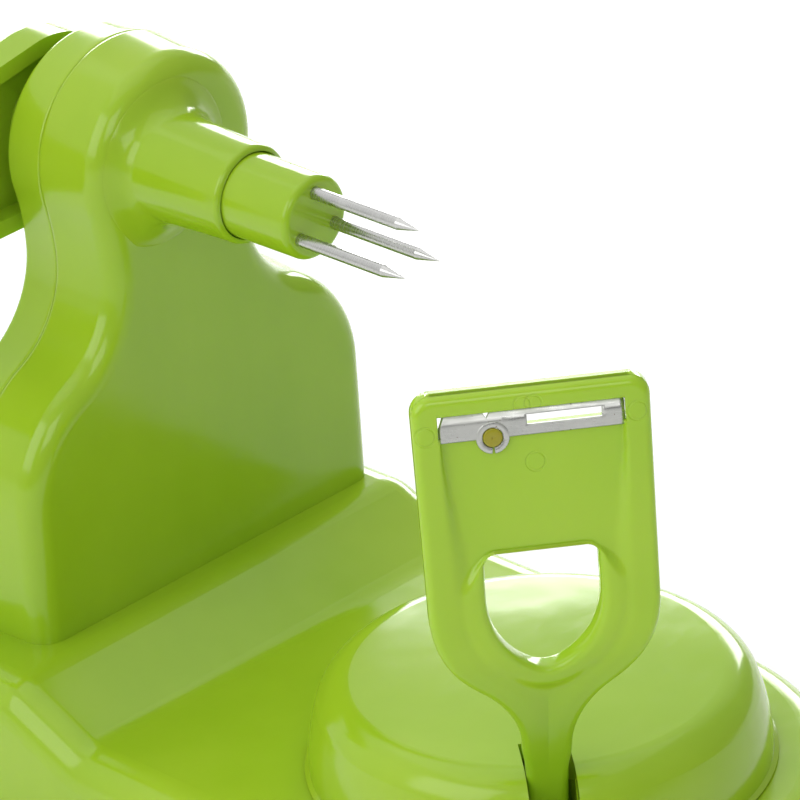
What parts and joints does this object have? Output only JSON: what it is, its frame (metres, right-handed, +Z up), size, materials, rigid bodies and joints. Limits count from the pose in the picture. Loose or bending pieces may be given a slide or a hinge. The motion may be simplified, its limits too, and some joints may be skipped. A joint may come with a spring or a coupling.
{
  "type": "apple peeler",
  "caption": "Hand cranked apple peeler: a fork turned through a post, geared to a round turntable whose sprung arm carries the blade round the fruit.",
  "frame": {"origin": "on the table surface under the middle of the whole outline, from the base's round end to the knob's end", "axes": "+X along the spindle from the post towards the turntable, +Y to the left when looking along +X, +Z up"},
  "size_m": [0.1944, 0.1202, 0.1289],
  "materials": {
    "lime": "gloss",
    "lime_arm": "gloss",
    "lime_dark": "satin",
    "white": "satin",
    "cup": "satin",
    "steel": "plated",
    "polished": "polished"
  },
  "bodies": {
    "base": {"base_shell": "lime", "bottom_cover": "lime_dark", "suction_cup_1": "cup", "suction_cup_2": "cup", "suction_cup_3": "cup", "suction_cup_4": "cup", "post_front_shell": "lime", "post_rear_shell": "lime", "cover_screws": "steel", "post_mount_screws": "steel", "post_screws": "steel", "idler_pin": "steel"},
    "spindle": {"spindle_shaft": "steel", "worm": "white", "fork_hub": "lime", "fork_prong_1": "polished", "fork_prong_2": "polished", "fork_prong_3": "polished", "spindle_washer": "steel", "crank_arm": "lime", "crank_screw": "steel", "knob_pin": "steel"},
    "knob": {"crank_knob": "lime", "knob_cap": "lime_dark"},
    "upright": {"drive_shaft": "steel", "worm_wheel": "white", "drive_pinion": "white"},
    "idler": {"idler_gear": "white"},
    "turntable": {"turntable_dome": "lime", "table_gear": "white", "table_washer": "steel", "table_screw": "steel", "arm_pivot_pin": "steel", "arm_spring": "steel"},
    "arm": {"peeler_arm": "lime_arm", "peeler_blade": "polished"}
  },
  "joints": [
    {"name": "spindle_turn", "type": "hinge", "parent": "base", "child": "spindle", "pos_m": [-0.03225, 0.01064, 0.111], "axis": [1, 0, 0], "range_deg": [-1170, 2730]},
    {"name": "knob_spin", "type": "hinge", "parent": "spindle", "child": "knob", "pos_m": [-0.08225, -0.04914, 0.10577], "axis": [1, 0, 0], "continuous": true},
    {"name": "upright_turn", "type": "hinge", "parent": "base", "child": "upright", "pos_m": [-0.04475, 0.02164, 0.06], "axis": [0, 0, 1], "range_deg": [-228, 98]},
    {"name": "idler_turn", "type": "hinge", "parent": "base", "child": "idler", "pos_m": [-0.00952, 0.00322, 0.015], "axis": [0, 0, 1], "range_deg": [-43, 99]},
    {"name": "table_turn", "type": "hinge", "parent": "base", "child": "turntable", "pos_m": [0.04775, 0.01064, 0.03], "axis": [0, 0, 1], "range_deg": [-91.1, 39.1]},
    {"name": "arm_pivot", "type": "hinge", "parent": "turntable", "child": "arm", "pos_m": [0.06762, -0.00932, 0.031], "axis": [0.6293, 0.7771, 0], "range_deg": [-5, 15], "stiffness_Nm_per_rad": 0.05, "springref_deg": -0.8}
  ],
  "couplings": [
    {"joint": "upright_turn", "follows": "spindle_turn", "ratio": -0.083333},
    {"joint": "idler_turn", "follows": "spindle_turn", "ratio": 0.036036},
    {"joint": "table_turn", "follows": "spindle_turn", "ratio": -0.033333}
  ]
}
